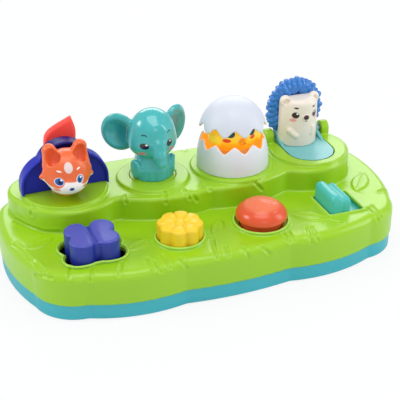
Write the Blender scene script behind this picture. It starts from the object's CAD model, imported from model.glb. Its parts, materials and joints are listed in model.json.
import json
import math
from functools import reduce

import bpy
import numpy as np
from mathutils import Matrix, Vector


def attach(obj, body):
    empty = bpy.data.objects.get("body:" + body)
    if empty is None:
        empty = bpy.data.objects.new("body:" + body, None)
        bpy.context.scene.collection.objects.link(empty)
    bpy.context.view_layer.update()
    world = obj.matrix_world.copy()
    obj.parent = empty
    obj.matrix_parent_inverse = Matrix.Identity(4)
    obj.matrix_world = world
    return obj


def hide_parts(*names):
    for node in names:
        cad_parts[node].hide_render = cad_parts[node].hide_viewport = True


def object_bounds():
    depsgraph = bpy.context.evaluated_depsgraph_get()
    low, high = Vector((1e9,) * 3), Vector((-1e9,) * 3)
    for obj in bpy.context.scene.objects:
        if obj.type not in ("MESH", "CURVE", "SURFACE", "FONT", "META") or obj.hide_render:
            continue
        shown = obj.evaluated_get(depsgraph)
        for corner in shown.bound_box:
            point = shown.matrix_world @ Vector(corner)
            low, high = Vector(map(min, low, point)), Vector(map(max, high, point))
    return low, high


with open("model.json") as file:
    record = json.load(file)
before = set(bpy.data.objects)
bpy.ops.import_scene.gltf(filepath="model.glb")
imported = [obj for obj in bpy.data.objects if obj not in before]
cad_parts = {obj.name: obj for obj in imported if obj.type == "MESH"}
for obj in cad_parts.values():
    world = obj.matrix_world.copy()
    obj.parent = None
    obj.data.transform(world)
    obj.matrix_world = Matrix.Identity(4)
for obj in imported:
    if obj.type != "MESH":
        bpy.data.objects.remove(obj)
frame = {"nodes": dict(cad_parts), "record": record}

# A pop up animal toy. Sizes are written in millimetres and the meshes are made in metres.
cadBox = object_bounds()
nodes = frame["nodes"]
unit = 0.001
coarsen = 1.0


# shapes from distance fields: negative inside, in millimetres
def cosSin(degrees):
    return math.cos(math.radians(degrees)), math.sin(math.radians(degrees))


def turned(dx, dy, dz, turn):
    # offsets seen from axes turned by three angles in degrees
    if not any(turn):
        return dx, dy, dz
    m = Matrix.Rotation(math.radians(turn[2]), 3, "Z") @ Matrix.Rotation(math.radians(turn[1]), 3, "Y")
    m = (m @ Matrix.Rotation(math.radians(turn[0]), 3, "X")).transposed()
    return tuple(m[i][0] * dx + m[i][1] * dy + m[i][2] * dz for i in range(3))


def ball(x, y, z, centre, radii, turn=(0, 0, 0)):
    dx, dy, dz = turned(x - centre[0], y - centre[1], z - centre[2], turn)
    a, b, c = radii
    near = np.sqrt((dx / a) ** 2 + (dy / b) ** 2 + (dz / c) ** 2)
    slope = np.sqrt((dx / a ** 2) ** 2 + (dy / b ** 2) ** 2 + (dz / c ** 2) ** 2)
    return near * (near - 1) / np.maximum(slope, 1e-4)


def horn(x, y, z, start, end, startRadius, endRadius):
    # a straight limb whose radius changes from start to end
    along = np.array(end, float) - np.array(start, float)
    dx, dy, dz = x - start[0], y - start[1], z - start[2]
    t = np.clip((dx * along[0] + dy * along[1] + dz * along[2]) / along.dot(along), 0, 1)
    far = np.sqrt((dx - along[0] * t) ** 2 + (dy - along[1] * t) ** 2 + (dz - along[2] * t) ** 2)
    return far - (startRadius + (endRadius - startRadius) * t)


def join(a, b, ease=1.0):
    h = np.clip(0.5 + 0.5 * (b - a) / ease, 0, 1)
    return b + (a - b) * h - ease * h * (1 - h)


def common(a, b, ease=1.0):
    return -join(-a, -b, ease)


def carve(a, b, ease=1.0):
    return -join(-a, b, ease)


def overlap(*fields):
    # sharp-edged common part of several shapes
    return reduce(np.maximum, fields)


def band(value, low, high):
    # slab between two bounds
    return np.abs(value - (high + low) / 2) - (high - low) / 2


def outlineField(u, v, corners):
    # distance to a closed outline of many short straight edges
    nearest, inside = np.inf, False
    for (u0, v0), (u1, v1) in zip(corners, corners[1:] + corners[:1]):
        eu, ev = u1 - u0, v1 - v0
        du, dv = u - u0, v - v0
        t = np.clip((du * eu + dv * ev) / (eu * eu + ev * ev), 0, 1)
        nearest = np.minimum(nearest, (du - eu * t) ** 2 + (dv - ev * t) ** 2)
        left, right = du * ev, dv * eu
        inside = inside ^ (((v0 > v) != (v1 > v)) & (left < right if v1 > v0 else left > right))
    d = np.sqrt(nearest)
    return np.where(inside, -d, d)


def arcPoints(start, middle, end, count):
    # points of the circle through three points, without its last one
    (ax, ay), (bx, by), (cx, cy) = start, middle, end
    d = 2 * (ax * (by - cy) + bx * (cy - ay) + cx * (ay - by))
    ux = ((ax * ax + ay * ay) * (by - cy) + (bx * bx + by * by) * (cy - ay) + (cx * cx + cy * cy) * (ay - by)) / d
    uy = ((ax * ax + ay * ay) * (cx - bx) + (bx * bx + by * by) * (ax - cx) + (cx * cx + cy * cy) * (bx - ax)) / d
    first, mid, last = (math.atan2(p[1] - uy, p[0] - ux) for p in (start, middle, end))
    full = 2 * math.pi
    sweep = (last - first) % full
    if (mid - first) % full > sweep:
        sweep -= full
    radius = math.hypot(ax - ux, ay - uy)
    turns = [first + sweep * i / count for i in range(count)]
    return [(ux + radius * math.cos(t), uy + radius * math.sin(t)) for t in turns]


cubeCorners = np.array([(i, j, k) for i in (0, 1) for j in (0, 1) for k in (0, 1)])
cubeEdges = [(a, b) for a in range(8) for b in range(a + 1, 8) if abs(cubeCorners[a] - cubeCorners[b]).sum() == 1]
# how far the net reaches past its box, and how its points are pulled onto the surface, in steps of the net
netValues = {"margin": 1.5, "pulls": 3, "nudge": 0.04, "leastSlope": 0.2, "longestPull": 0.45}


def netMesh(name, field, low, high, step):
    # closed quad mesh of a field's surface inside a box
    net = netValues
    step = step * coarsen
    low = np.array(low, float) - net["margin"] * step
    counts = np.ceil((np.array(high, float) + net["margin"] * step - low) / step).astype(int) + 1
    axes = [low[i] + step * np.arange(counts[i]) for i in range(3)]
    values = field(axes[0][:, None, None], axes[1][None, :, None], axes[2][None, None, :])
    values = np.ascontiguousarray(np.broadcast_to(values, counts)).astype(np.float32)
    inside = values < 0
    total = sum(inside[i:counts[0] - 1 + i, j:counts[1] - 1 + j, k:counts[2] - 1 + k].astype(np.int8)
                for i, j, k in cubeCorners)
    cells = np.argwhere((total > 0) & (total < 8))
    number = np.full(np.array(counts) - 1, -1, np.int64)
    number[tuple(cells.T)] = np.arange(len(cells))
    sums, hits = np.zeros((len(cells), 3)), np.zeros(len(cells))
    for a, b in cubeEdges:
        fa = values[tuple((cells + cubeCorners[a]).T)]
        fb = values[tuple((cells + cubeCorners[b]).T)]
        crossed = (fa < 0) != (fb < 0)
        t = np.where(crossed, fa / np.where(crossed, fa - fb, 1), 0)
        sums += (cubeCorners[a] + (cubeCorners[b] - cubeCorners[a]) * t[:, None]) * crossed[:, None]
        hits += crossed
    points = low + (cells + sums / hits[:, None]) * step
    faces = []
    for axis in range(3):
        u, v = (axis + 1) % 3, (axis + 2) % 3
        here = np.moveaxis(inside, (axis, u, v), (0, 1, 2))
        edge = here[:-1] != here[1:]
        spots = np.argwhere(edge[:, 1:-1, 1:-1])
        spots[:, 1:] += 1
        flip = here[tuple(spots.T)]
        ring = []
        for du, dv in ((-1, -1), (0, -1), (0, 0), (-1, 0)):
            cell = np.empty_like(spots)
            cell[:, axis], cell[:, u], cell[:, v] = spots[:, 0], spots[:, 1] + du, spots[:, 2] + dv
            ring.append(number[tuple(cell.T)])
        quads = np.stack(ring, 1)
        quads[~flip] = quads[~flip][:, ::-1]
        faces.append(quads)
    faces = np.concatenate(faces)
    faces = faces[(faces >= 0).all(1)]
    nudge = step * net["nudge"]
    for _ in range(net["pulls"]):
        here = field(*points.T)
        slope = np.stack([field(*(points + n).T) - field(*(points - n).T) for n in np.eye(3) * nudge], 1) / (2 * nudge)
        move = here[:, None] * slope / np.maximum((slope ** 2).sum(1), net["leastSlope"])[:, None]
        length = np.linalg.norm(move, axis=1)[:, None]
        points = points - move * np.minimum(1, net["longestPull"] * step / np.maximum(length, 1e-9))
    return meshFrom(name, points * unit, faces)


def meshFrom(name, points, faces):
    mesh = bpy.data.meshes.new(name)
    sides = faces.shape[1]
    mesh.vertices.add(len(points))
    mesh.vertices.foreach_set("co", points.astype(np.float32).ravel())
    mesh.loops.add(faces.size)
    mesh.loops.foreach_set("vertex_index", faces.astype(np.int32).ravel())
    mesh.polygons.add(len(faces))
    mesh.polygons.foreach_set("loop_start", np.arange(0, faces.size, sides, dtype=np.int32))
    mesh.polygons.foreach_set("loop_total", np.full(len(faces), sides, np.int32))
    mesh.update(calc_edges=True)
    mesh.validate()
    mesh.shade_smooth()
    return mesh


def newObject(name, data):
    obj = bpy.data.objects.new(name, data)
    bpy.context.scene.collection.objects.link(obj)
    return obj


def newPiece(name, mesh, material, body, slot, *replaced):
    piece = newObject(name, mesh)
    mesh.materials.clear()
    mesh.materials.append(material)
    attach(piece, body)
    if replaced:
        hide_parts(*replaced)
    print("made", name, "with", len(mesh.polygons), "faces")


def fieldPiece(name, field, low, high, step, *role):
    # a netted piece; its role is the material, the body, the slot and any replaced node
    newPiece(name, netMesh(name, field, low, high, step), *role)


# materials
def linear(*colour):
    # screen colour 0 to 255 as the linear colour that a shader takes
    shares = (c / 255 for c in colour)
    return (*(c / 12.92 if c <= 0.04045 else ((c + 0.055) / 1.055) ** 2.4 for c in shares), 1.0)


def setInputs(tree, node, inputs):
    # each input gets a value or a link from the socket given for it
    for place, value in inputs.items():
        if isinstance(value, bpy.types.NodeSocket):
            tree.links.new(value, node.inputs[place])
        else:
            node.inputs[place].default_value = value


def newNode(tree, kind, inputs={}, **settings):
    node = tree.nodes.new(kind)
    for label, value in settings.items():
        setattr(node, label, value)
    setInputs(tree, node, inputs)
    return node


def addSockets(tree, inputs, outputs):
    face = tree.interface
    sockets = {}
    for label, kind, *value in inputs:
        sockets[label] = face.new_socket(label, in_out="INPUT", socket_type="NodeSocket" + kind)
        if value:
            sockets[label].default_value = value[0]
    for label, kind in outputs:
        face.new_socket(label, in_out="OUTPUT", socket_type="NodeSocket" + kind)
    return sockets


def newGroup(name, inputs, outputs):
    tree = bpy.data.node_groups.new(name, "ShaderNodeTree")
    addSockets(tree, inputs, outputs)
    return tree, tree.nodes.new("NodeGroupInput").outputs


def mathNode(tree, operation, first, second):
    return newNode(tree, "ShaderNodeMath", {0: first, 1: second}, operation=operation).outputs[0]


def mixColour(tree, factor, first, second, kind="MIX"):
    inputs = {0: factor, 6: first, 7: second}
    return newNode(tree, "ShaderNodeMix", inputs, data_type="RGBA", blend_type=kind).outputs[2]


def makeMouldedSkin():
    # slight clouding of the colour, uneven gloss and the fine grain of a moulded surface
    inputs = [("Colour", "Color", (0.8, 0.8, 0.8, 1)), ("Cloud", "Float", 0.06), ("Cloud Scale", "Float", 30.0),
              ("Grain Scale", "Float", 900.0), ("Gloss Low", "Float", 0.22), ("Gloss High", "Float", 0.34)]
    tree, given = newGroup("mouldedSkin", inputs, [("Colour", "Color"), ("Roughness", "Float"), ("Height", "Float")])
    place = newNode(tree, "ShaderNodeTexCoord").outputs["Object"]
    clouds, grain = (
        newNode(tree, "ShaderNodeTexNoise", {"Detail": detail, "Vector": place, "Scale": given[scale]}).outputs["Fac"]
        for detail, scale in ((3, "Cloud Scale"), (2, "Grain Scale")))
    shade = mathNode(tree, "MULTIPLY", mathNode(tree, "SUBTRACT", clouds, 0.5), given["Cloud"])
    shade = mathNode(tree, "ADD", mathNode(tree, "MULTIPLY", shade, 2.0), 1.0)
    grey = newNode(tree, "ShaderNodeCombineColor", {0: shade, 1: shade, 2: shade}).outputs[0]
    spread = mathNode(tree, "SUBTRACT", given["Gloss High"], given["Gloss Low"])
    gloss = mathNode(tree, "ADD", given["Gloss Low"], mathNode(tree, "MULTIPLY", spread, grain))
    colour = mixColour(tree, 1.0, given["Colour"], grey, "MULTIPLY")
    newNode(tree, "NodeGroupOutput", {"Colour": colour, "Roughness": gloss, "Height": grain})
    return tree


def makePaintSpot():
    # soft-edged oval mark at one place on the surface
    inputs = [("Centre", "Vector", (0, 0, 0)), ("Turn", "Vector", (0, 0, 0)), ("Radii", "Vector", (unit, unit, unit)),
              ("Softness", "Float", 0.1)]
    tree, given = newGroup("paintSpot", inputs, [("Mask", "Float")])
    place = newNode(tree, "ShaderNodeTexCoord").outputs["Object"]
    offset = newNode(tree, "ShaderNodeVectorMath", {0: place, 1: given["Centre"]}, operation="SUBTRACT").outputs[0]
    swung = newNode(tree, "ShaderNodeVectorRotate", {"Vector": offset, "Rotation": given["Turn"]},
                    rotation_type="EULER_XYZ", invert=True).outputs[0]
    share = newNode(tree, "ShaderNodeVectorMath", {0: swung, 1: given["Radii"]}, operation="DIVIDE").outputs[0]
    length = newNode(tree, "ShaderNodeVectorMath", {0: share}, operation="LENGTH").outputs["Value"]
    edges = {"Value": length, "From Min": mathNode(tree, "SUBTRACT", 1.0, given["Softness"]),
             "From Max": mathNode(tree, "ADD", 1.0, given["Softness"]), "To Min": 1.0, "To Max": 0.0}
    fade = newNode(tree, "ShaderNodeMapRange", edges, interpolation_type="SMOOTHSTEP")
    newNode(tree, "NodeGroupOutput", {"Mask": fade.outputs["Result"]})
    return tree


mouldedSkin = makeMouldedSkin()
paintSpot = makePaintSpot()


def mark(colour, centre, radii, tilt=0, soft=0.1, strength=1.0, lit=False, within=(), without=()):
    # a painted spot; tilt turns it in the front plane and its depth is along Y
    return {"colour": linear(*colour), "spot": (centre, radii, tilt, soft), "strength": strength, "lit": lit,
            "within": within, "without": without}


def spotMask(tree, centre, radii, tilt, soft):
    inputs = {"Centre": [c * unit for c in centre], "Turn": (0.0, math.radians(tilt), 0.0),
              "Radii": [r * unit for r in radii], "Softness": soft}
    return newNode(tree, "ShaderNodeGroup", inputs, node_tree=paintSpot).outputs["Mask"]


skinValues = {"grainScale": 900.0, "grainDepth": 0.0003, "coatRoughness": 0.12, "underRadius": (0.6, 0.5, 0.45),
              "underScale": 0.004}


def newMaterial(name):
    material = bpy.data.materials.new(name)
    material.use_nodes = True
    return material, material.node_tree


def mouldedMaterial(name, colour, cloud, gloss, bump, marks=(), cloudScale=30.0, coat=0.0, under=0.0, glow=0.0):
    v = skinValues
    material, tree = newMaterial(name)
    skin = newNode(tree, "ShaderNodeGroup", {
        "Colour": linear(*colour), "Cloud": cloud, "Cloud Scale": cloudScale, "Grain Scale": v["grainScale"],
        "Gloss Low": gloss[0], "Gloss High": gloss[1]}, node_tree=mouldedSkin).outputs
    tint, lit = skin["Colour"], (0.0, 0.0, 0.0, 1.0)
    for m in marks:
        mask = spotMask(tree, *m["spot"])
        for keep in m["within"]:
            mask = mathNode(tree, "MULTIPLY", mask, spotMask(tree, *keep))
        for gap in m["without"]:
            mask = mathNode(tree, "MULTIPLY", mask, mathNode(tree, "SUBTRACT", 1.0, spotMask(tree, *gap)))
        mask = mathNode(tree, "MULTIPLY", mask, m["strength"])
        tint = mixColour(tree, mask, tint, m["colour"])
        if m["lit"]:
            lit = mixColour(tree, mask, lit, m["colour"])
    relief = newNode(tree, "ShaderNodeBump", {"Strength": bump, "Distance": v["grainDepth"], "Height": skin["Height"]})
    inputs = {"Base Color": tint, "Roughness": skin["Roughness"], "Normal": relief.outputs["Normal"],
              "Coat Weight": coat, "Coat Roughness": v["coatRoughness"]}
    if glow:
        inputs.update({"Emission Strength": glow, "Emission Color": tint if isinstance(lit, tuple) else lit})
    if under:
        inputs.update({"Subsurface Weight": under, "Subsurface Radius": v["underRadius"],
                       "Subsurface Scale": v["underScale"]})
    setInputs(tree, tree.nodes["Principled BSDF"], inputs)
    return material


# stage: camera, lights, floor and backdrop
stageValues = {
    "turn": 20.88, "pitch": 28.93, "distance": 764.7, "target": (2.187, 17.551, 33.456), "lens": 86.65,
    "background": (1.0, 1.0, 1.0, 1.0), "sky": (0.97, 0.985, 1.0, 1.0), "fill": 0.52, "aim": (0, 0, 50),
    "floorTint": (232, 236, 238), "floorGlow": 0.85, "floorHalf": 8.0,
    "lamps": [
        ("topLamp", (-60, -260, 1130), 800, 700, 4.9), ("leftLamp", (-1050, 200, 740), 450, 350, 4.4),
        ("rightLamp", (950, -350, 500), 400, 800, 3.4), ("frontLamp", (-150, -1250, 620), 600, 300, 1.3),
        ("backLamp", (450, 1250, 720), 1500, 500, 8.0),
    ],
}


def makeCamera():
    v = stageValues
    (c, s), (level, down) = cosSin(v["turn"]), cosSin(v["pitch"])
    ahead = Vector((s * level, c * level, -down))
    data = bpy.data.cameras.new("toyCamera")
    data.lens, data.sensor_width = v["lens"], 36
    data.clip_start, data.clip_end = 0.01, 50
    camera = newObject("toyCamera", data)
    camera.location = (Vector(v["target"]) - ahead * v["distance"]) * unit
    camera.rotation_euler = ahead.to_track_quat("-Z", "Y").to_euler()
    bpy.context.scene.camera = camera


def twoSurfaces(tree, output, strength, lit, seen):
    # what lights the toy, and what the camera sees in its place
    share = mathNode(tree, "MULTIPLY", newNode(tree, "ShaderNodeLightPath").outputs["Is Camera Ray"], strength)
    mix = newNode(tree, "ShaderNodeMixShader", {0: share, 1: lit.outputs[0], 2: seen.outputs[0]})
    newNode(tree, output, {"Surface": mix.outputs[0]})


def makeLights():
    v = stageValues
    for name, place, wide, tall, power in v["lamps"]:
        data = bpy.data.lights.new(name, "AREA")
        data.shape = "RECTANGLE"
        data.size, data.size_y, data.energy = wide * unit, tall * unit, power
        lamp = newObject(name, data)
        lamp.location = Vector(place) * unit
        lamp.rotation_euler = (Vector(place) - Vector(v["aim"])).to_track_quat("Z", "Y").to_euler()
    world = bpy.data.worlds.new("studio")
    bpy.context.scene.world = world
    world.use_nodes = True
    tree = world.node_tree
    tree.nodes.clear()
    light = newNode(tree, "ShaderNodeBackground", {"Color": v["sky"], "Strength": v["fill"]})
    seen = newNode(tree, "ShaderNodeBackground", {"Color": v["background"]})
    twoSurfaces(tree, "ShaderNodeOutputWorld", 1.0, light, seen)


def makeFloor():
    v = stageValues
    material, tree = newMaterial("paleFloor")
    tree.nodes.clear()
    matt = newNode(tree, "ShaderNodeBsdfDiffuse", {"Color": linear(*v["floorTint"])})
    glow = newNode(tree, "ShaderNodeEmission", {"Strength": 1.0})
    twoSurfaces(tree, "ShaderNodeOutputMaterial", v["floorGlow"], matt, glow)
    corners = np.array([(-1, -1, 0), (1, -1, 0), (1, 1, 0), (-1, 1, 0)]) * v["floorHalf"]
    floor = newObject("floor", meshFrom("floor", corners, np.array([(0, 1, 2, 3)])))
    floor.data.materials.append(material)


bpy.context.scene.view_settings.view_transform = "Standard"
makeCamera()
makeLights()
makeFloor()
print("stage ready")

# each plastic: colour, clouding, gloss range, grain and marks
limePlastic = mouldedMaterial("limePlastic", (154, 204, 22), 0.04, (0.26, 0.38), 0.06, cloudScale=16, coat=0.15)
limeEdge = mouldedMaterial("limeEdge", (168, 216, 74), 0.02, (0.2, 0.3), 0.04)
turquoisePlastic = mouldedMaterial("turquoisePlastic", (60, 178, 190), 0.03, (0.3, 0.4), 0.05)
rubberMaterial = mouldedMaterial("rubber", (70, 72, 74), 0.1, (0.6, 0.8), 0.2)
steelMaterial = mouldedMaterial("steel", (190, 192, 196), 0.08, (0.22, 0.4), 0.05)
steelMaterial.node_tree.nodes["Principled BSDF"].inputs["Metallic"].default_value = 1.0
bluePlastic = mouldedMaterial("bluePlastic", (38, 50, 160), 0.05, (0.26, 0.4), 0.12, [
    mark((92, 98, 190), (-99.5, -34, 58), (60, 60, 5.6), 0, 0.08, 0.6)])
yellowPlastic = mouldedMaterial("yellowPlastic", (246, 206, 40), 0.04, (0.28, 0.4), 0.05)
orangePlastic = mouldedMaterial("orangePlastic", (228, 86, 46), 0.04, (0.2, 0.3), 0.04, [
    mark((246, 146, 106), (30.5, -37.4, 56), (18, 18, 5), 0, 0.3, 0.5)])
tealPlastic = mouldedMaterial("tealPlastic", (74, 190, 184), 0.04, (0.25, 0.36), 0.04)
creamPlastic = mouldedMaterial("creamPlastic", (234, 224, 208), 0.03, (0.26, 0.36), 0.04)
quillPlastic = mouldedMaterial("quillPlastic", (34, 118, 200), 0.14, (0.2, 0.3), 0.06, cloudScale=160, coat=0.45)
skyPlastic = mouldedMaterial("skyPlastic", (118, 192, 194), 0.03, (0.28, 0.38), 0.05)
navyPlastic = mouldedMaterial("navyPlastic", (32, 42, 172), 0.05, (0.34, 0.42), 0.04, [
    mark((12, 8, 88), (-101.2, 33, 101), (34, 30, 13), 0, 0.4, 0.85)])
navyPlastic.node_tree.nodes["Principled BSDF"].inputs["Specular IOR Level"].default_value = 0.25
tailPlastic = mouldedMaterial("tailPlastic", (255, 84, 72), 0.05, (0.3, 0.4), 0.05, [
    mark((255, 76, 66), (-101, 48, 90), (40, 40, 40), lit=True)], glow=0.15)
innerPlastic = mouldedMaterial("innerPlastic", (205, 208, 208), 0.04, (0.35, 0.5), 0.05)
print("plastics ready")

# housing: the lime moulding of two tiers, with grooves, leaves and the leaves' spine and veins
housingValues = {
    "voxel": 0.8, "smoothing": 2, "faces": 190000, "deck": 37.5, "groove": 1, "width": 1.1, "lip": 0.3,
    "leaf": 1.1, "slope": 2, "spine": 0.6, "spineWidth": 0.8,
    "vein": 0.18, "veinWidth": 0.6, "veinPitch": 5.6, "veinLean": 0.9,
}

# grooves between the moulded stones, each a run of points on the skin
stoneGrooves = [
    [(-142.7, 29.6, 38.5), (-137.3, 18.6, 39.4), (-131.7, 9.9, 39.5), (-125.6, 3.5, 38.9), (-115.6, -2.1, 39.9)],
    [(-120.2, -49.9, 38.4), (-121.7, -54.2, 37.3), (-123, -57.6, 35.5)],
    [(-105.7, -54.4, 37.8), (-107.6, -60, 36.7), (-108.9, -62.6, 33.6)],
    [(-84, -54.4, 37.8), (-87.2, -61.6, 37.5), (-89.9, -66.8, 35.9)],
    [(-140.9, -31.5, 37.1), (-139.9, -37.4, 36.8), (-137.5, -47, 34.9)],
    [(-131.1, 13.1, 56.1), (-133.2, 12.4, 50.1)],
    [(-62.8, 5.5, 55.9), (-63.4, 1.4, 52.1)],
    [(-33.6, -2.2, 56.8), (-34.9, -7.1, 55.2), (-35.1, -8.4, 51.6)],
    [(-18.1, -1.5, 56), (-18, -7.8, 55.3), (-16.1, -9.3, 51.8)],
    [(-14.9, -5.9, 55.8), (-13.1, -8.8, 53.1), (-10.2, -8.6, 48.6)],
    [(-4.4, 0.2, 56), (-1.9, -3.9, 55.8), (1.4, -5.9, 54.4)],
    [(37.7, -8.6, 55), (40.7, -8.9, 51.5), (44, -8.3, 47.5)],
    [(-13.1, -49.1, 37.5), (-15.2, -57.2, 37.5), (-17.3, -65.1, 37.4), (-18.2, -69.9, 35.4)],
    [(-7.4, -60.2, 37.5), (-8.8, -66.6, 37.3), (-9.2, -70.4, 35.4)],
    [(4.2, -66, 37.4), (4.6, -70.8, 35.1), (5.7, -72.2, 32.2)],
    [(17.2, -69, 36.3), (19.6, -71, 33.9), (22.6, -71.5, 30.6)],
    [(39.4, -59, 37.8), (39.2, -64.7, 37.2), (40.1, -68.2, 35.1)],
    [(43.7, -58.7, 37.5), (42.9, -64.7, 37.2), (43.3, -68.1, 35.2)],
    [(58.8, -58.1, 37.5), (56.8, -65, 37.4), (56, -69.4, 35.8), (56.6, -71.4, 32.5)],
    [(62.9, -58.1, 37.5), (61, -66.9, 37.1), (61.5, -71.2, 33.8)],
    [(80.4, -53.6, 37.5), (86, -59, 37.5)],
    [(116.5, -47.7, 37.5), (115.8, -54, 37.5), (118.2, -60.5, 33.4)],
    [(121, -45.9, 37.5), (120, -54.5, 37.3), (121.7, -59, 34.5)],
    [(138.4, -27, 37.4), (144.8, -25.1, 36.6), (149, -24, 33)],
    [(-65.8, -55.3, 37.5), (-66.2, -63.5, 37.5), (-66, -69.4, 36.1)],
    [(-62.4, -60.5, 37.5), (-62, -67.7, 37), (-61.2, -70.8, 34.5)],
    [(-54.3, -56.8, 37.5), (-54.5, -65, 37.4), (-53.7, -69.8, 35.1)],
    [(-43.9, -63.5, 37.4), (-42.8, -67.8, 35.6), (-40.9, -69.5, 31.9)],
    [(-151.2, -0.8, 36.6), (-147.5, -11.8, 37.1), (-144, -24.6, 37), (-142.2, -30.6, 36.8)],
    [(-143.1, -39.2, 31.4), (-140.1, -44.6, 33.2), (-133.7, -51.8, 34.4)],
    [(-120, 62.5, 56), (-121.5, 68.5, 54)], [(-88, 64, 56), (-89, 70, 54)],
    [(-64, 62, 56), (-65.5, 68.5, 54)], [(-18, 63, 56), (-17, 69, 54)],
    [(6, 64, 56), (7.5, 70, 54)], [(58, 63, 56), (59.5, 69, 54)],
    [(84, 65, 56), (83, 70.5, 54)], [(122, 62, 56), (124.5, 67.5, 54)],
]
# raised leaves on the deck: centre, half length, half width and turn
deckLeaves = [
    ((-133, -9), 12.5, 6.6, 22), ((-66, -36.5), 11.5, 6.6, 25), ((-3.5, -34), 13, 5.6, 58),
    ((69, -43), 16, 8, -33.7), ((131.5, -8), 17, 7.4, 50),
]


def evaluated(obj, name):
    # the mesh of an object with its modifiers applied, and the object removed
    graph = bpy.context.evaluated_depsgraph_get()
    mesh = bpy.data.meshes.new_from_object(obj.evaluated_get(graph))
    mesh.name = name
    bpy.data.objects.remove(obj)
    return mesh


def copyOfNode(node, name):
    # welded copy of a CAD node's mesh, as an object of its own
    mesh = nodes[node].data.copy()
    mesh.name = name
    obj = newObject(name, mesh)
    obj.modifiers.new("weld", "WELD").merge_threshold = 0.00001
    return obj


def remeshed(obj, name, voxel, smoothing):
    # fused and softened mesh of an object
    remesh = obj.modifiers.new("remesh", "REMESH")
    remesh.mode = "VOXEL"
    remesh.voxel_size = voxel * unit * coarsen
    remesh.use_smooth_shade = True
    smooth = obj.modifiers.new("smooth", "SMOOTH")
    smooth.factor = 0.5
    smooth.iterations = smoothing
    return evaluated(obj, name)


def rowsOf(data, key):
    # three numbers for each vertex
    rows = np.empty(len(data) * 3, np.float32)
    data.foreach_get(key, rows)
    return rows.reshape(-1, 3).astype(float)


def runDistance(points, run):
    nearest = np.full(len(points), 1e9)
    for start, end in zip(run, run[1:]):
        start, way = np.array(start), np.array(end) - np.array(start)
        share = np.clip((points - start) @ way / way.dot(way), 0, 1)
        nearest = np.minimum(nearest, np.linalg.norm(points - start - share[:, None] * way, axis=1))
    return nearest


def housingRelief(co, normal):
    # how far each point of the skin moves along its normal
    v = housingValues
    move = np.zeros(len(co))
    for run in stoneGrooves:
        ends = np.array(run)
        beside = ((co > ends.min(0) - 4) & (co < ends.max(0) + 4)).all(1)
        near = np.flatnonzero(beside & (normal[:, 2] > -0.2))
        away = runDistance(co[near], run)
        move[near] -= v["groove"] * np.exp(-(away / v["width"]) ** 2)
        move[near] += v["lip"] * np.exp(-((away - 2.2 * v["width"]) / v["width"]) ** 2)
    onDeck = np.flatnonzero((normal[:, 2] > 0.75) & (np.abs(co[:, 2] - v["deck"]) < 0.5))
    for (x, y), long, wide, turn in deckLeaves:
        c, s = cosSin(turn)
        dx, dy = co[onDeck, 0] - x, co[onDeck, 1] - y
        along, across = dx * c + dy * s, np.abs(dy * c - dx * s)
        reach = wide * np.clip(1 - (along / long) ** 2, 0, 1) ** 0.8
        edge = np.clip((reach - across) / v["slope"], 0, 1)
        spine = v["spine"] * np.exp(-(across / v["spineWidth"]) ** 2)
        place = np.mod(along - v["veinLean"] * across, v["veinPitch"]) - v["veinPitch"] / 2
        veins = v["vein"] * np.exp(-(place / v["veinWidth"]) ** 2)
        move[onDeck] += v["leaf"] * edge * edge * (3 - 2 * edge) - (spine + veins) * edge
    return move


def makeHousing():
    # the relief moves the skin, and flat parts are then thinned
    v = housingValues
    name = "housingShell"
    mesh = remeshed(copyOfNode("upper_housing", name), name, v["voxel"], v["smoothing"])
    co, normal = rowsOf(mesh.vertices, "co") / unit, rowsOf(mesh.vertex_normals, "vector")
    co += normal * housingRelief(co, normal)[:, None]
    mesh.shade_smooth()
    mesh.vertices.foreach_set("co", np.clip(co * unit, cadBox[0], cadBox[1]).astype(np.float32).ravel())
    mesh.update()
    obj = newObject(name, mesh)
    count = len(mesh.loop_triangles) if mesh.loop_triangles else 2 * len(mesh.polygons)
    obj.modifiers.new("thin", "DECIMATE").ratio = min(1, v["faces"] / count)
    mesh = evaluated(obj, name)
    mesh.shade_smooth()
    newPiece(name, mesh, limePlastic, "base", "lime_plastic", "upper_housing")


makeHousing()

# bright rounded lips round the holes of the four actuators
lipValues = {
    "radius": 1.05, "slim": 0.9, "deckLip": 39.3, "slotLip": 38.1, "button": (30.5, -37.4, 20.75),
    "flower": (-34.5, -37.4, 18.35), "butterfly": (-99.5, -34, 2.4), "spread": (8.8, 12),
    "wings": [(7.6, 9.6), (-7.4, 9.2)], "waist": 15, "slot": (83.3, 112.1, -48.7, -17.9), "slotGrow": 0.7,
    "corner": 1.6, "rays": 180, "farthest": 40.0, "halvings": 30,
}


def ringTurns(count):
    return np.linspace(0, 2 * math.pi, count, endpoint=False)


def butterflyHole(dx, dy, grow):
    v = lipValues
    near, far = v["spread"]
    plan = np.maximum(np.abs(dx) - near, np.abs(dy) - v["waist"] - grow)
    for place, radius in v["wings"]:
        plan = np.minimum(plan, np.hypot(np.abs(dx) - np.clip(np.abs(dx), near, far), dy - place) - radius - grow)
    return plan


def butterflyPath(grow):
    # the hole's edge, found along rays from its middle
    v = lipValues
    turns = ringTurns(v["rays"])
    low, high = np.zeros(v["rays"]), np.full(v["rays"], v["farthest"])
    for _ in range(v["halvings"]):
        middle = (low + high) / 2
        inside = butterflyHole(middle * np.cos(turns), middle * np.sin(turns), grow) < 0
        low, high = np.where(inside, middle, low), np.where(inside, high, middle)
    return np.stack([low * np.cos(turns), low * np.sin(turns)], 1)


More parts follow.
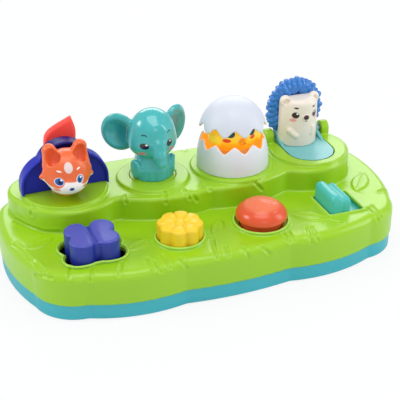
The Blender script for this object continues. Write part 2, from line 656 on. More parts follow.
def tubeRing(name, path, height, radius, sides=10):
    # closed round bead along a flat closed path
    count = len(path)
    way = np.roll(path, -1, 0) - np.roll(path, 1, 0)
    way /= np.linalg.norm(way, axis=1)[:, None]
    out = np.stack([way[:, 1], -way[:, 0]], 1)
    points, faces = [], []
    for j in range(sides):
        turn = 2 * math.pi * j / sides
        ring = path + out * radius * math.cos(turn)
        points.append(np.column_stack([ring, np.full(count, height + radius * math.sin(turn))]))
        for i in range(count):
            n, m = (i + 1) % count, (j + 1) % sides
            faces.append((j * count + i, j * count + n, m * count + n, m * count + i))
    return meshFrom(name, np.concatenate(points) * unit, np.array(faces))


def circlePath(x, y, radius):
    turns = ringTurns(120)
    return np.stack([x + radius * np.cos(turns), y + radius * np.sin(turns)], 1)


def slotPath(grow, corner):
    x0, x1, y0, y1 = lipValues["slot"]
    path = []
    for cx, cy, sx, sy, first in ((x1, y1, 1, 1, 0), (x0, y1, -1, 1, 90), (x0, y0, -1, -1, 180), (x1, y0, 1, -1, 270)):
        for i in range(7):
            c, s = cosSin(first + 15 * i)
            path.append((cx + sx * (grow - corner) + corner * c, cy + sy * (grow - corner) + corner * s))
    return np.array(path)


def makeLips():
    v = lipValues
    x, y, grow = v["butterfly"]
    for name, path, height, radius in (
            ("buttonLip", circlePath(*v["button"]), v["deckLip"], v["radius"]),
            ("flowerLip", circlePath(*v["flower"]), v["deckLip"], v["radius"]),
            ("butterflyLip", butterflyPath(grow) + (x, y), v["deckLip"], v["slim"]),
            ("leverLip", slotPath(v["slotGrow"], v["corner"]), v["slotLip"], v["radius"])):
        newPiece(name, tubeRing(name, path, height, radius), limeEdge, "base", "lime_plastic")


makeLips()

# den: bell-shaped arch behind the fox, with the gate and the hole of the fox's pin
denValues = {
    "x": -101.2, "front": 26, "depth": 12.3, "half": 32.5, "crown": 97.8, "spread": 18.6, "foot": 58.6, "below": 8,
    "side": 66, "shoulder": (4.4, 77.6), "neck": 85.4, "lean": 1.07, "rim": 1.9, "dish": 3.4,
    "gate": 11.5, "gateTop": 79.2, "gateCorner": 2.5, "pin": (33, 65), "pinRadius": 2, "pinReach": 18,
}


def denOutline(shrink):
    v = denValues
    half, spread, neck = v["half"] - shrink, v["spread"] - shrink * 0.8, v["neck"] - shrink * 0.5
    inset, level = v["shoulder"]
    shoulder, side, low = (half - inset, level - shrink * 0.6), v["side"], v["foot"] - v["below"]
    right = arcPoints((half, side), shoulder, (spread, neck), 14)
    top = arcPoints((spread, neck), (0, v["crown"] - shrink), (-spread, neck), 24)
    left = arcPoints((-spread, neck), (-shoulder[0], shoulder[1]), (-half, side), 14)
    outline = [(half, low)] + right + top + left + [(-half, side), (-half, low)]
    return [(v["x"] + a * (v["lean"] if a < 0 else 1), b) for a, b in outline]


denEdge, denDishEdge = denOutline(0), denOutline(denValues["rim"])


def denField(x, y, z):
    v = denValues
    dx, corner, middle = np.abs(x - v["x"]), v["gateCorner"], v["front"] + v["depth"] / 2
    slab = common(outlineField(x, z, denEdge), np.abs(y - middle) - v["depth"] / 2, 1.6)
    dish = common(outlineField(x, z, denDishEdge), y - (v["front"] + v["dish"]), 1.2)
    side, over = dx - v["gate"] + corner, z - v["gateTop"] + corner
    gate = np.hypot(np.maximum(side, 0), np.maximum(over, 0)) + np.minimum(np.maximum(side, over), 0) - corner
    pin = np.hypot(y - v["pin"][0], z - v["pin"][1]) - v["pinRadius"]
    return overlap(carve(carve(slab, dish), gate), -np.where(dx < v["pinReach"], pin, 9), v["foot"] - z)


fieldPiece("denArch", denField, (-137, 25, 58), (-68, 41, 99), 0.6, navyPlastic, "base", "navy_plastic", "fox_den")

# fox: head with dished ears, and tail
foxValues = {"head": (-104.2, 13.4, 84.4), "size": (17.2, 14.6, 13.8), "cheeks": [(-1, 18.8, 80.6), (1, 17.6, 77.8)],
             "socket": (7.1, 12.7, 68.1), "hub": (6, 16)}


def foxHeadField(x, y, z):
    v = foxValues
    m = v["head"][0]
    head = join(ball(x, y, z, v["head"], v["size"]), ball(x, y, z, (m, 9, 75.5), (14.5, 12, 9.5)), 5)
    head = join(head, ball(x, y, z, (m, 13.5, 70.2), (12, 10.8, 7.9)), 3)
    for side, out, level in v["cheeks"]:
        cheek = horn(x, y, z, (m + side * 9.5, 10.2, 80), (m + side * out, 11, level), 8.8, 1.9)
        ridge = horn(x, y, z, (m + side * 6.4, 9, 94.6), (m + side * 15, 10.2, 83), 3, 3)
        head = join(join(head, cheek, 3), ridge, 2.6)
    head = join(head, ball(x, y, z, (m, 2.2, 75), (9.4, 5.8, 5)), 4)
    for side in (-1, 1):
        ear = horn(x, y, z, (m + side * 8.8, 13.5, 90), (m + side * 11.4, 14.8, 98.8), 8.8, 5.2)
        ear = common(ear, np.abs(y - 14.4) - 4.8, 2.2)
        dish = ball(x, y, z, (m + side * 10.2, 8.4, 95.8), (5.7, 4.6, 7.6), (0, side * 14, 0))
        head = carve(join(head, ear, 1.6), dish)
    dx, (pinY, pinZ) = np.abs(x - denValues["x"]), denValues["pin"]
    (wide, front, top), (radius, half) = v["socket"], v["hub"]
    head = carve(head, overlap(dx - wide, front - y, z - top), 0.4)
    return carve(head, np.maximum(np.hypot(y - pinY, z - pinZ) - radius, dx - half), 0.4)
foxMarks = [
    mark((214, 58, 18), (-114.6, 8.6, 96.2), (4.4, 5, 7), -12, 0.35, 0.5),
    mark((214, 58, 18), (-93.8, 8.6, 96.2), (4.4, 5, 7), 12, 0.35, 0.5),
    mark((246, 240, 236), (-105.4, 4, 85.2), (26, 24, 17.4), 0, 0.03, without=[
        ((-115.5, 2, 85.6), (8, 40, 10.7), 0, 0.03), ((-102.5, 2, 100), (24, 40, 20.9), 0, 0.03),
        ((-92.5, 2, 86.5), (9.5, 40, 10.8), 0, 0.03), ((-124.4, 2, 84.4), (4.4, 40, 5.2), 0, 0.04),
        ((-84, 2, 82.4), (4.8, 40, 5.4), 0, 0.04)]),
    mark((238, 216, 210), (-105.3, 0, 89.7), (3.1, 8, 3.8), 0, 0.12),
    mark((255, 246, 240), (-112.2, 0, 87.7), (1.8, 8, 0.6), 12, 0.3),
    mark((255, 246, 240), (-98.1, 0, 88.2), (1.5, 8, 0.6), -18, 0.3),
    mark((250, 250, 255), (-112.9, 0, 80.2), (3.3, 8, 3)),
    mark((16, 96, 180), (-112.8, 0, 80.2), (3, 8, 2.7)),
    mark((10, 30, 80), (-112.3, 0, 79.8), (1.6, 8, 1.6), 0, 0.2),
    mark((255, 255, 255), (-111.3, 0, 81.4), (0.8, 8, 0.7), 0, 0.2),
    mark((250, 250, 255), (-97.8, 0, 80.4), (2.8, 8, 3.2), 20),
    mark((30, 130, 190), (-97.8, 0, 80.4), (2.4, 8, 2.8), 20),
    mark((10, 40, 90), (-98, 0, 80), (1.3, 8, 1.6), 20, 0.2),
    mark((255, 255, 255), (-97, 0, 81.6), (0.7, 8, 0.7), 0, 0.2),
    mark((24, 74, 150), (-104.7, 0, 74.5), (2.1, 8, 1.5), 0, 0.15),
    mark((226, 112, 104), (-114.8, 0, 73.6), (2.4, 8, 1.3), -10, 0.3, 0.85),
    mark((226, 112, 104), (-94.2, 0, 74.2), (1.9, 8, 1.2), 10, 0.3, 0.85),
]
foxPlastic = mouldedMaterial("foxPlastic", (236, 106, 54), 0.05, (0.24, 0.34), 0.04, foxMarks)
fieldPiece("foxFace", foxHeadField, (-126, -4, 62), (-81, 29, 107), 0.5, foxPlastic, "fox", "fox_plastic", "fox_head")

tailValues = {
    "x": -101.2, "y": 48, "thick": 8, "low": 68.1, "hairs": (-5, -1, 3, 7), "between": 7,
    "left": [(-5.5, 68.1), (-9.5, 76), (-11.5, 90), (-7, 99.5), (10.6, 108.5)],
    "right": [(10.6, 108.5), (13.4, 98), (12.6, 88), (8.5, 77), (5.5, 68.1)],
}


def smoothRun(points, count):
    # points on a curve through the given ones
    p = [np.array(q, float) for q in points]
    p = [2 * p[0] - p[1]] + p + [2 * p[-1] - p[-2]]
    run = []
    for a, b, c, d in zip(p, p[1:], p[2:], p[3:]):
        for i in range(count):
            t = i / count
            square, cube = (2 * a - 5 * b + 4 * c - d) * t * t, (3 * b - a - 3 * c + d) * t ** 3
            run.append(tuple(0.5 * ((2 * b) + (c - a) * t + square + cube)))
    return run + [tuple(p[-2])]


def tailOutline():
    v = tailValues
    run = smoothRun(v["left"], v["between"])[:-1] + smoothRun(v["right"], v["between"])
    return [(v["x"] + a, b) for a, b in run]


tailEdge = tailOutline()


def tailField(x, y, z):
    v = tailValues
    thick = v["thick"] / 2 * np.clip((z - 60) / 60, 0.8, 1)
    body = common(outlineField(x, z, tailEdge), np.abs(y - v["y"]) - thick, 2.6)
    for side in (-1, 1):
        for shift in v["hairs"]:
            low, high = v["x"] + shift - 2, v["x"] + shift * 0.5 + 5
            hair = horn(x, y, z, (low, v["y"] + side * 4.2, 80), (high, v["y"] + side * 4.2, 102), 0.7, 0.6)
            body = carve(body, hair, 0.6)
    return np.maximum(body, v["low"] - z)


fieldPiece("foxBrush", tailField, (-114, 43, 67), (-86, 53, 110), 0.55, tailPlastic, "fox", "tail_plastic", "fox_tail")

# elephant: dished ears, trunk and folded skirt
elephantValues = {
    "x": -33, "y": 29, "foot": 58.5, "skirt": ([58, 67, 74, 80], [15.6, 15.4, 13.4, 11.5]),
    "folds": ((-2.15, 0.7), (-1.78, 0.55), (-1.1, 0.7), (-0.75, 0.5)), "ear": (22.5, 12, 92.5), "swing": 35,
    "earSize": (14.4, 3.6, 15.4), "dishSize": (11.8, 5.4, 12.8), "screw": (1.5, 9),
}


def elephantField(x, y, z):
    v = elephantValues
    cx, cy = v["x"], v["y"]
    around, angle = np.hypot(x - cx, y - cy), np.arctan2(y - cy, x - cx)
    body = around - np.interp(z, *v["skirt"])
    for where, depth in v["folds"]:
        body = body + depth * np.exp(-((angle - where) / 0.1) ** 2) * np.clip((74 - z) / 8, 0, 1)
    body = np.maximum(body, z - 82)
    for side in (-1, 1):
        arm = ball(x, y, z, (cx + side * 13.6, cy - 4, 66.5), (5.2, 6.6, 8.4), (0, side * 10, side * -20))
        body = join(body, np.maximum(arm, around - 17.6), 1.2)
    head = ball(x, y, z, (cx, cy - 1, 95.2), (17.6, 16.4, 18.2))
    head = join(head, ball(x, y, z, (cx - 0.4, cy - 2.5, 87.6), (18.6, 15.6, 12.6)), 5)
    head = join(head, body, 2)
    out, back, level = v["ear"]
    for side in (-1, 1):
        ex, ey, swing = cx + side * out, cy + back, side * v["swing"]
        c, s = cosSin(swing)
        ear = ball(x, y, z, (ex, ey, level), v["earSize"], (0, 0, swing))
        front = (ex + s * 4.6 + side * 1.0 * c, ey - c * 4.6, level - 0.5)
        head = join(head, carve(ear, ball(x, y, z, front, v["dishSize"], (0, 0, swing)), 1.4), 2.2)
    head = join(head, ball(x, y, z, (cx, cy - 14.2, 94.5), (7.6, 3.8, 11)), 5)
    bend, tip = (cx + 0.3, cy - 18.4, 82.5), (cx + 1, cy - 20.4, 76.4)
    trunk = horn(x, y, z, (cx, cy - 15.2, 90), bend, 6.4, 5.2)
    head = join(head, join(trunk, horn(x, y, z, bend, tip, 5.2, 4), 1.5), 2.2)
    radius, deep = v["screw"]
    return overlap(head, v["foot"] - z, -np.maximum(around - radius, z - (v["foot"] + deep)))

elephantMarks = [
    mark((4, 112, 108), (-53, 37, 91), (7, 7, 11), 0, 0.5, 0.7),
    mark((20, 138, 138), (-11, 38, 92), (8.5, 8.5, 12), 0, 0.4, 0.7),
    mark((3, 3, 6), (-44, 12, 90.3), (3.2, 9, 2.4)),
    mark((250, 252, 252), (-42.6, 12, 91.5), (0.8, 9, 0.6), 0, 0.3),
    mark((3, 3, 6), (-24.8, 12, 91.2), (2.7, 9, 2.6), -25),
    mark((250, 252, 252), (-24, 12, 92.5), (0.7, 9, 0.6), 0, 0.3),
    mark((20, 52, 58), (-43.6, 12, 98.2), (1.9, 9, 1), 0, 0.2, without=[
        ((-43.6, 12, 97.5), (1.6, 10, 0.8), 0, 0.2)]),
    mark((20, 52, 58), (-24.4, 12, 99.5), (1.7, 9, 1), 0, 0.2, without=[
        ((-24.4, 12, 98.8), (1.4, 10, 0.8), 0, 0.2)]),
    mark((226, 110, 140), (-45.5, 14, 83.6), (2.7, 9, 1.3), 0, 0.35, 0.9),
    mark((230, 122, 150), (-22.9, 14, 85.3), (2.1, 9, 1.6), 0, 0.35, 0.9),
]
elephantPlastic = mouldedMaterial("elephantPlastic", (64, 180, 180), 0.04, (0.2, 0.24), 0.01, elephantMarks, coat=0.6)
fieldPiece("elephant", elephantField, (-71, 3, 58), (5, 51, 115), 0.62, elephantPlastic, "elephant",
           "elephant_plastic", "elephant_figure")

washerValues = {"inner": 15, "outer": 18, "low": 56.6, "top": 58.35}


def washerField(x, y, z):
    v = washerValues
    around = np.hypot(x - elephantValues["x"], y - elephantValues["y"])
    return common(band(around, v["inner"], v["outer"]), band(z, v["low"], v["top"]), 0.4)


fieldPiece("elephantWasher", washerField, (-52, 10, 56), (-14, 48, 59), 0.5, limePlastic, "elephant", "lime_plastic")

# egg and chick
eggValues = {
    "x": 32.3, "y": 24.5, "radius": 28.5, "wall": 1.8, "half": 40, "full": 2.3, "middle": 60.5, "notch": 77,
    "tooth": 6, "teeth": 10, "tipAngle": -109, "pop": 13, "foot": 58.6, "edgeSlope": 0.82, "gap": 0.4,
    "ledge": (13.4, 27.5), "bosses": (90, 210, 330), "bossAt": 21.5, "bossRadius": 2.8, "bossTop": 64,
}


def zigzag(dx, dy):
    v = eggValues
    turn = np.degrees(np.arctan2(dy, dx)) - v["tipAngle"]
    share = np.mod(turn * v["teeth"] / 360, 1)
    return 0.5 + (np.abs(2 * share - 1) - 0.5) * 1.06 - 0.03 * np.cos(2 * math.pi * 3 * share)


def eggSkin(dx, dy, z):
    v = eggValues
    full = v["full"]
    around, up = np.hypot(dx, dy) / v["radius"], np.abs(z) / v["half"]
    near = np.maximum((around ** full + up ** full) ** (1 / full), 0.1)
    slope = np.hypot((around / near) ** (full - 1) / v["radius"], (up / near) ** (full - 1) / v["half"])
    return np.abs((near - 1) / slope + v["wall"] / 2) - v["wall"] / 2


def lowerEggField(x, y, z):
    v = eggValues
    dx, dy = x - v["x"], y - v["y"]
    edge = (z - (v["notch"] + v["tooth"] * zigzag(dx, dy))) * v["edgeSlope"]
    shell = common(eggSkin(dx, dy, z - v["middle"]), edge, 0.8)
    around, (inner, outer) = np.hypot(dx, dy), v["ledge"]
    base = overlap(np.abs(z - 59.6) - 1, around - outer, inner - around)
    for degrees in v["bosses"]:
        c, s = cosSin(degrees)
        boss = np.hypot(dx - v["bossAt"] * c, dy - v["bossAt"] * s) - v["bossRadius"]
        base = np.minimum(base, overlap(boss, z - v["bossTop"], v["foot"] - z))
    return np.maximum(join(shell, base, 0.5), v["foot"] - z)


def upperEggField(x, y, z):
    v = eggValues
    dx, dy = x - v["x"], y - v["y"]
    edge = ((v["notch"] + v["gap"] + v["pop"] + v["tooth"] * zigzag(dx, dy)) - z) * v["edgeSlope"]
    return common(eggSkin(dx, dy, z - v["middle"] - v["pop"]), edge, 0.8)


def shellPlastic(name, colour, gloss, lift):
    # an egg shell with a warm inner side
    v = eggValues
    x, y, z = v["x"], v["y"], v["middle"]
    inner = mark((255, 190, 70), (x, y, z + lift), (27.7, 27.7, 44), 0, 0.02, lit=True,
                 within=[((x, y, z + 9 + lift), (60, 60, 16), 0, 0.1)])
    return mouldedMaterial(name, colour, 0.015, gloss, 0.02, [inner], under=0.15, glow=0.3)


lowerShell = shellPlastic("lowerShell", (224, 228, 236), (0.34, 0.42), 0)
whiteShell = shellPlastic("whiteShell", (212, 217, 228), (0.4, 0.48), 13)
fieldPiece("lowerEgg", lowerEggField, (3, -5, 58), (62, 54, 87), 0.62, lowerShell, "base", "egg_plastic",
           "lower_egg_shell")
fieldPiece("upperEgg", upperEggField, (3, -5, 91), (62, 54, 115), 0.62, whiteShell, "chick", "egg_plastic",
           "upper_egg_shell")

chickValues = {"x": 32.3, "y": 24.5, "z": 89, "size": (20.4, 20.4, 19.8), "low": 74.6, "faceAngle": -90,
               "shelf": (101.2, 1.2, 18.4), "screw": (1.5, 8)}


def chickField(x, y, z):
    v = chickValues
    cx, cy, cz, face = v["x"], v["y"], v["z"], math.radians(v["faceAngle"])
    head = ball(x, y, z, (cx, cy, cz), v["size"])
    c, s = math.cos(face), math.sin(face)
    beak = horn(x, y, z, (cx + c * 18.6, cy + s * 18.6, cz - 3.8), (cx + c * 22, cy + s * 23.6, cz - 3.4), 4, 1)
    head = join(head, beak, 0.8)
    for side in (-1, 1):
        turn = face + side * 1.15
        place = (cx + math.cos(turn) * 19.4, cy + math.sin(turn) * 19.4, cz - 4)
        head = join(head, ball(x, y, z, place, (2.6, 7.5, 6.5), (0, 0, math.degrees(turn))))
    around, (level, half, reach), (radius, deep) = np.hypot(x - cx, y - cy), v["shelf"], v["screw"]
    head = np.minimum(head, np.maximum(np.abs(z - level) - half, around - reach))
    lid = ball(x, y, z, (cx, cy, 73.5), (26.3, 26.3, 38.8))
    return overlap(head, lid, v["low"] - z, -np.maximum(around - radius, z - (v["low"] + deep)))

chickMarks = [
    mark((250, 168, 28), (31, 5, 78), (30, 20, 6.5), 0, 0.4, 0.5),
    mark((255, 160, 30), (32.4, 1.6, 85.5), (4.6, 4.6, 4.2), 0, 0.12),
    mark((12, 62, 70), (22.6, 6, 92.2), (3.6, 6, 3.2)),
    mark((12, 62, 70), (40.6, 5, 92.2), (3.4, 6, 3.2)),
    mark((226, 70, 44), (20.3, 7, 86.3), (3.1, 6, 1.8), 0, 0.2),
    mark((226, 70, 44), (41.2, 6, 87.4), (2.6, 6, 1.7), 0, 0.2),
]
chickPlastic = mouldedMaterial("chickPlastic", (255, 214, 50), 0.05, (0.26, 0.36), 0.04, chickMarks, glow=0.16)
fieldPiece("chick", chickField, (9, 1, 74), (56, 48, 112), 0.6, chickPlastic, "chick", "chick_plastic", "chick_figure")

# hedgehog: cream body with a coat of quills on its back
hedgehogValues = {"x": 98.9, "axisY": 47, "foot": 58.6, "top": 98, "back": 47.4,
                  "girth": ([58, 70, 90, 98], [16.6, 16.6, 16.4, 16.2])}


def hedgehogField(x, y, z):
    v = hedgehogValues
    cx, cy = v["x"], v["axisY"]
    body = np.hypot(x - cx, y - cy) - np.interp(z, *v["girth"])
    body = common(body, z - v["top"], 5)
    for side in (-1, 1):
        body = join(body, ball(x, y, z, (cx + side * 12.8, 43.6, 95.6), (4.6, 3.8, 4.8)))
        body = carve(body, ball(x, y, z, (cx + side * 12.6, 39.6, 95.8), (2.7, 1.8, 2.8)), 0.8)
    body = join(body, horn(x, y, z, (cx - 11.2, cy - 11.6, 72), (cx - 7.6, cy - 14.4, 68.4), 2.5, 1.9), 2)
    body = join(body, horn(x, y, z, (cx + 7.4, cy - 14.6, 74), (cx + 6.2, cy - 15.2, 69.2), 1.9, 1.6), 1.4)
    body = join(body, ball(x, y, z, (cx + 0.2, cy - 16.4, 84.2), (2.9, 2.3, 2.2)), 1.2)
    return overlap(body, y - v["back"], v["foot"] - z)


hedgehogMarks = [
    mark((50, 26, 28), (91, 34, 86.3), (2.8, 8, 2.7), 0, 0.12),
    mark((255, 255, 255), (92.1, 33, 87.6), (0.8, 8, 0.7), 0, 0.3),
    mark((50, 26, 28), (107.7, 34, 85.8), (2.4, 8, 2.8), 0, 0.12),
    mark((255, 255, 255), (107.6, 33, 87.3), (0.7, 8, 0.7), 0, 0.3),
    mark((60, 38, 38), (91.3, 34, 92.5), (1.8, 8, 0.8), 6, 0.25),
    mark((60, 38, 38), (106.7, 34, 92.3), (1.4, 8, 0.8), -6, 0.25),
    mark((64, 30, 30), (99.1, 29, 84.6), (2.5, 5, 1.9), 0, 0.14),
    mark((120, 80, 70), (99.6, 31, 80.9), (1.2, 5, 0.6), 0, 0.3, 0.8),
    mark((234, 146, 146), (89.4, 35, 82), (2.4, 8, 1.5), 0, 0.4, 0.85),
    mark((234, 152, 152), (109.2, 36, 82.6), (2, 8, 1.5), 0, 0.4, 0.8),
]
hedgehogPlastic = mouldedMaterial("hedgehogPlastic", (236, 226, 212), 0.03, (0.26, 0.36), 0.04, hedgehogMarks)
fieldPiece("hedgehog", hedgehogField, (80, 28, 58), (121, 48, 101), 0.5, hedgehogPlastic, "hedgehog",
           "cream_plastic", "hedgehog_body")

quillValues = {
    "x": 97.8, "lugMiddle": 100.5, "front": 47.5, "z": 84.3, "size": (25.2, 15.5, 27.8), "low": 58.9, "long": 3.9,
    "wide": 2.7, "pitch": 4.4, "jitter": 0.6, "voxel": 0.5, "smoothing": 3, "seed": 4, "scales": (0.86, 1.12),
    "pin": (51, 63, 2.05), "coreInset": (1.7, 1.3, 1.7), "beadInset": 3.7, "fringe": (50, 102, 12.6),
    "rings": [(90, 1, 2.6), (90, 0.87, 2.5), (90, 0.74, 2.5), (77, 1, 2.2), (64, 1, 0.8), (51, 1, 0.4),
              (38, 1, 0.2), (25, 1, 0), (12, 1, 0)],
}
quillInputs = [("Geometry", "Geometry"), ("Stretch", "Float", quillValues["long"] / quillValues["wide"]),
               ("Width", "Float", quillValues["wide"] * unit), ("Seed", "Int", quillValues["seed"])]


def quillCoreField(x, y, z):
    v = quillValues
    radii = [size - inset for size, inset in zip(v["size"], v["coreInset"])]
    body = ball(x, y, z, (v["x"], v["front"], v["z"]), radii)
    recess = np.maximum(np.abs(x - v["x"] - 1.1) - 13, z - 94) / 3
    body = np.maximum(body, v["front"] + 0.05 + 1.5 * np.clip(recess, 0, 1) - y)
    body = carve(body, np.maximum(16.4 - np.abs(x - v["lugMiddle"]), z - 68.2), 0.6)
    pinY, pinZ, radius = v["pin"]
    return overlap(body, v["low"] - z, radius - np.hypot(y - pinY, z - pinZ))


def quillTree(material):
    # one rounded quill on each point, laid along the point's own direction
    tree = bpy.data.node_groups.new("quillCoat", "GeometryNodeTree")
    sockets = addSockets(tree, quillInputs, [("Geometry", "Geometry")])
    given, (smallest, largest) = tree.nodes.new("NodeGroupInput").outputs, quillValues["scales"]
    bead = newNode(tree, "GeometryNodeMeshUVSphere", {"Segments": 12, "Rings": 8, "Radius": given["Width"]})
    shape = newNode(tree, "ShaderNodeCombineXYZ", {"X": 1, "Y": 1, "Z": given["Stretch"]})
    quill = newNode(tree, "GeometryNodeTransform", {"Geometry": bead.outputs["Mesh"], "Scale": shape.outputs["Vector"]})
    points = newNode(tree, "GeometryNodeMeshToPoints", {"Mesh": given["Geometry"]})
    way = newNode(tree, "GeometryNodeInputNamedAttribute", {"Name": "quillWay"}, data_type="FLOAT_VECTOR")
    align = newNode(tree, "FunctionNodeAlignRotationToVector", {"Vector": way.outputs["Attribute"]}, axis="Z")
    size = newNode(tree, "FunctionNodeRandomValue", {2: smallest, 3: largest, "Seed": given["Seed"]})
    shown = newNode(tree, "GeometryNodeInstanceOnPoints", {
        "Points": points.outputs["Points"], "Instance": quill.outputs["Geometry"],
        "Rotation": align.outputs["Rotation"], "Scale": size.outputs[1]}).outputs["Instances"]
    for kind, inputs in (("RealizeInstances", {}), ("SetShadeSmooth", {}), ("SetMaterial", {"Material": material})):
        shown = newNode(tree, "GeometryNode" + kind, {"Geometry": shown, **inputs}).outputs["Geometry"]
    newNode(tree, "NodeGroupOutput", {"Geometry": shown})
    return tree, sockets


def makeQuillCoat():
    v = quillValues
    a, b, c = (s - v["beadInset"] for s in v["size"])
    starts, ways = [], []
    random = np.random.default_rng(v["seed"])
    for row, (polar, share, lift) in enumerate(v["rings"]):
        ring, height = math.sin(math.radians(polar)) * share, math.cos(math.radians(polar))
        count = max(3, round(2 * math.pi * ring * (a + c) / 2 / v["pitch"]))
        for i in range(count):
            turn = 2 * math.pi * (i + 0.5 * (row % 2)) / count
            out = np.array([math.cos(turn), 0, math.sin(turn)])
            depth = v["front"] + lift + height * (b - 0.6)
            p = np.array([v["x"] + out[0] * a * ring, depth, v["z"] + out[2] * c * ring])
            aside = abs(p[0] - v["lugMiddle"])
            if p[2] < v["low"] + 4 or (aside > 12.5 and p[2] < 72.5):
                continue
            if share < 1 and aside < 15.5 and p[2] > 92:
                p[1] -= 1.4
            starts.append(p + random.uniform(-1, 1, 3) * v["jitter"] * np.array([1, 0.3, 1]))
            ways.append(out * max(0.35, ring) + np.array([0, height * 1.1, 0]))
    y, z, half = v["fringe"]
    count = round(2 * half / v["pitch"])
    for i in range(count):
        dx = half * (2 * i / (count - 1) - 1)
        place = np.array([v["x"] + 0.8 + dx, y, z - 1.4 - 0.012 * dx * dx])
        starts.append(place + random.uniform(-1, 1, 3) * v["jitter"])
        ways.append(np.array([dx / 22, -0.6, 1]))
    ways = [way / np.linalg.norm(way) for way in ways]
    mesh = bpy.data.meshes.new("quillPlaces")
    mesh.from_pydata([tuple(p * unit) for p in starts], [], [])
    attribute = mesh.attributes.new("quillWay", "FLOAT_VECTOR", "POINT")
    attribute.data.foreach_set("vector", np.array(ways, np.float32).ravel())
    obj = newObject("quillSpikes", mesh)
    modifier = obj.modifiers.new("quillCoat", "NODES")
    modifier.node_group, sockets = quillTree(quillPlastic)
    for label, _, value in quillInputs[1:]:
        modifier[sockets[label].identifier] = value
    return remeshed(obj, "quillSpikes", v["voxel"], v["smoothing"])


fieldPiece("quillCoat", quillCoreField, (75, 47, 58), (126, 64, 112), 0.8, quillPlastic, "hedgehog", "quill_plastic",
           "hedgehog_quills")
newPiece("quillSpikes", makeQuillCoat(), quillPlastic, "hedgehog", "quill_plastic")

# actuators: butterfly, flower, round button and lever
butterflyValues = {
    "x": -99.5, "y": -34, "spread": 8.8, "wings": [(7.6, 9.6), (-7.4, 9.2)], "waist": (4, 13), "foot": 31,
    "top": 53.9, "wall": 2.4, "pinZ": 26, "pinRadius": 2.05, "groove": (1.9, 2.8), "web": (2.5, 12.5),
    "hub": (4.2, 20.1), "finger": (6.5, 2.5),
}


def butterflyField(x, y, z):
    v = butterflyValues
    dx, dy = x - v["x"], y - v["y"]
    plan = np.maximum(np.abs(dx) - v["waist"][0], np.abs(dy) - v["waist"][1])
    for side in (-1, 1):
        for place, radius in v["wings"]:
            plan = join(plan, np.hypot(dx - side * v["spread"], dy - place) - radius)
    (groove, width), pin = v["groove"], np.hypot(dx, z - v["pinZ"])
    body = common(plan, z - (v["top"] - groove * np.exp(-(dx / width) ** 2)), 1.9)
    body = overlap(body, v["foot"] - z, -np.maximum(plan + v["wall"], z - (v["top"] - v["wall"])))
    web = overlap(np.abs(dx) - v["web"][0], np.abs(dy) - v["web"][1], np.abs(z - 39) - 13)
    hub = np.maximum(pin - v["hub"][0], np.abs(dy) - v["hub"][1])
    finger = np.maximum(np.hypot(dx, dy - v["finger"][0]) - v["finger"][1], np.abs(z - 17.2) - 8.7)
    body = np.minimum(np.minimum(body, web), np.minimum(hub, finger))
    return np.maximum(body, v["pinRadius"] - pin)


fieldPiece("butterflyPad", butterflyField, (-119, -56, 8), (-80, -15, 54), 0.62, bluePlastic, "butterfly",
           "blue_plastic", "butterfly_rocker")

flowerValues = {"x": -34.5, "y": -37.4, "petals": 8, "reach": 17.2, "petal": 6.3, "low": 37.8, "top": 52,
                "wall": 2.4, "boss": 7.4, "crease": (1, 0.8), "heart": (0.9, 3.6, 0.7), "dome": (0.9, 10.5, 6)}


def flowerField(x, y, z):
    v = flowerValues
    dx, dy = x - v["x"], y - v["y"]
    around = np.hypot(dx, dy)
    pitch, ring = 2 * math.pi / v["petals"], v["reach"] - v["petal"]
    turn = np.mod(np.arctan2(dy, dx), pitch) - pitch / 2
    petal = np.hypot(around * np.cos(turn) - ring, around * np.sin(turn)) - v["petal"]
    plan = join(petal, around - (ring + 1), 0.6)
    seam = around * np.abs(np.sin(pitch / 2 - np.abs(turn)))
    (deep, width), (sunk, at, narrow), (high, middle, half) = v["crease"], v["heart"], v["dome"]
    crease = deep * np.exp(-(seam / width) ** 2) * np.clip((around - 3.5) / 2, 0, 1)
    heart = sunk * np.exp(-((around - at) / narrow) ** 2)
    dome = -high * np.clip(1 - ((around - middle) / half) ** 2, 0, 1)
    body = common(plan, z - (v["top"] - high - crease - heart - dome), 1.8)
    inner = overlap(plan + v["wall"], z - (v["top"] - v["wall"] - 1), v["boss"] - around)
    return overlap(body, v["low"] - z, -inner)


fieldPiece("flowerKnob", flowerField, (-52, -55, 37), (-17, -20, 53), 0.5, yellowPlastic, "flower", "yellow_plastic",
           "flower_knob")

buttonValues = {"x": 30.5, "y": -37.4, "radius": 19.6, "top": 56, "rim": 44, "neck": 16.1, "low": 35.1,
                "wall": 2.4, "star": (0.3, 8.6, 2.2, 5), "circle": (0.2, 15.2), "line": 0.9}


def buttonField(x, y, z):
    v = buttonValues
    dx, dy = x - v["x"], y - v["y"]
    around, rim, line = np.hypot(dx, dy), v["rim"], v["line"]
    dome = ball(x, y, z, (v["x"], v["y"], rim), (v["radius"], v["radius"], v["top"] - rim))
    (deep, at, wave, points), (ringDeep, ringAt) = v["star"], v["circle"]
    star = deep * np.exp(-((around - at - wave * np.cos(points * np.arctan2(dy, dx))) / line) ** 2)
    relief = star + ringDeep * np.exp(-((around - ringAt) / line) ** 2)
    dome = common(dome + relief, (rim - 1.2) - z, 1.4)
    body = join(dome, np.maximum(around - v["neck"], band(z, v["low"], rim) - 0.6), 0.6)
    return np.maximum(body, -np.maximum(around - (v["neck"] - v["wall"]), z - rim))


fieldPiece("buttonDome", buttonField, (10, -58, 34), (51, -17, 57), 0.6, orangePlastic, "button", "orange_plastic",
           "round_button")

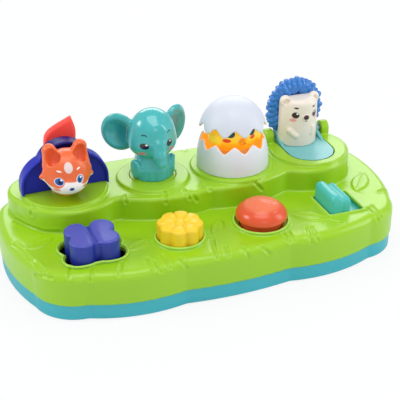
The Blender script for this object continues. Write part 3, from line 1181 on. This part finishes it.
leverValues = {"x": 84.3, "wide": 17, "front": -48.3, "deep": 30, "low": 35.1, "flute": (0.45, 9.6, 1.3),
               "crest": ([0, 2, 5.5, 8, 10.2, 11.8, 14.4, 16, 17],
                         [51.6, 53, 53, 51.4, 49.6, 49.3, 50.1, 49.6, 48.2])}


def leverField(x, y, z):
    v = leverValues
    dx, dy = x - v["x"], y - v["front"]
    sunk, at, width = v["flute"]
    flute = sunk * np.exp(-((dx - at) / width) ** 2)
    slab = common(band(dx, 0, v["wide"]), band(dy, 0, v["deep"]) + flute, 3)
    crest = np.interp(dx, *v["crest"])
    crest = crest - 0.6 * np.clip((np.abs(dy - v["deep"] / 2) - 10) / 5, 0, 1) ** 2
    return np.maximum(common(slab, (z - crest) * 0.92, 3.2), v["low"] - z)


fieldPiece("leverKnob", leverField, (84, -49, 34.5), (102, -18, 54), 0.5, tealPlastic, "lever", "teal_plastic",
           "lever_knob")

# the rest of the moulded and metal parts
finishes = {
    "base_tray": turquoisePlastic, "rubber_feet": rubberMaterial, "lever_slide": tealPlastic,
    "hedgehog_cover": skyPlastic, "fox_rocker_arm": foxPlastic, "elephant_plunger": limePlastic,
}
slotFinishes = {
    "steel": steelMaterial, "inner_plastic": innerPlastic, "lime_plastic": limePlastic, "rubber": rubberMaterial,
    "turquoise_plastic": turquoisePlastic, "blue_plastic": bluePlastic, "yellow_plastic": yellowPlastic,
    "orange_plastic": orangePlastic, "teal_plastic": tealPlastic, "elephant_plastic": elephantPlastic,
    "egg_plastic": whiteShell, "chick_plastic": chickPlastic, "cream_plastic": creamPlastic,
    "quill_plastic": quillPlastic, "sky_plastic": skyPlastic, "navy_plastic": navyPlastic,
    "fox_plastic": foxPlastic, "tail_plastic": tailPlastic,
}
slotOfNode = {part["node"]: part["material_slot"] for part in frame["record"]["subparts"]}
for name, node in nodes.items():
    material = finishes.get(name) or slotFinishes.get(slotOfNode.get(name), innerPlastic)
    for place in node.material_slots:
        place.material = material
    if not node.material_slots:
        node.data.materials.append(material)
print("finished", len(nodes), "nodes")
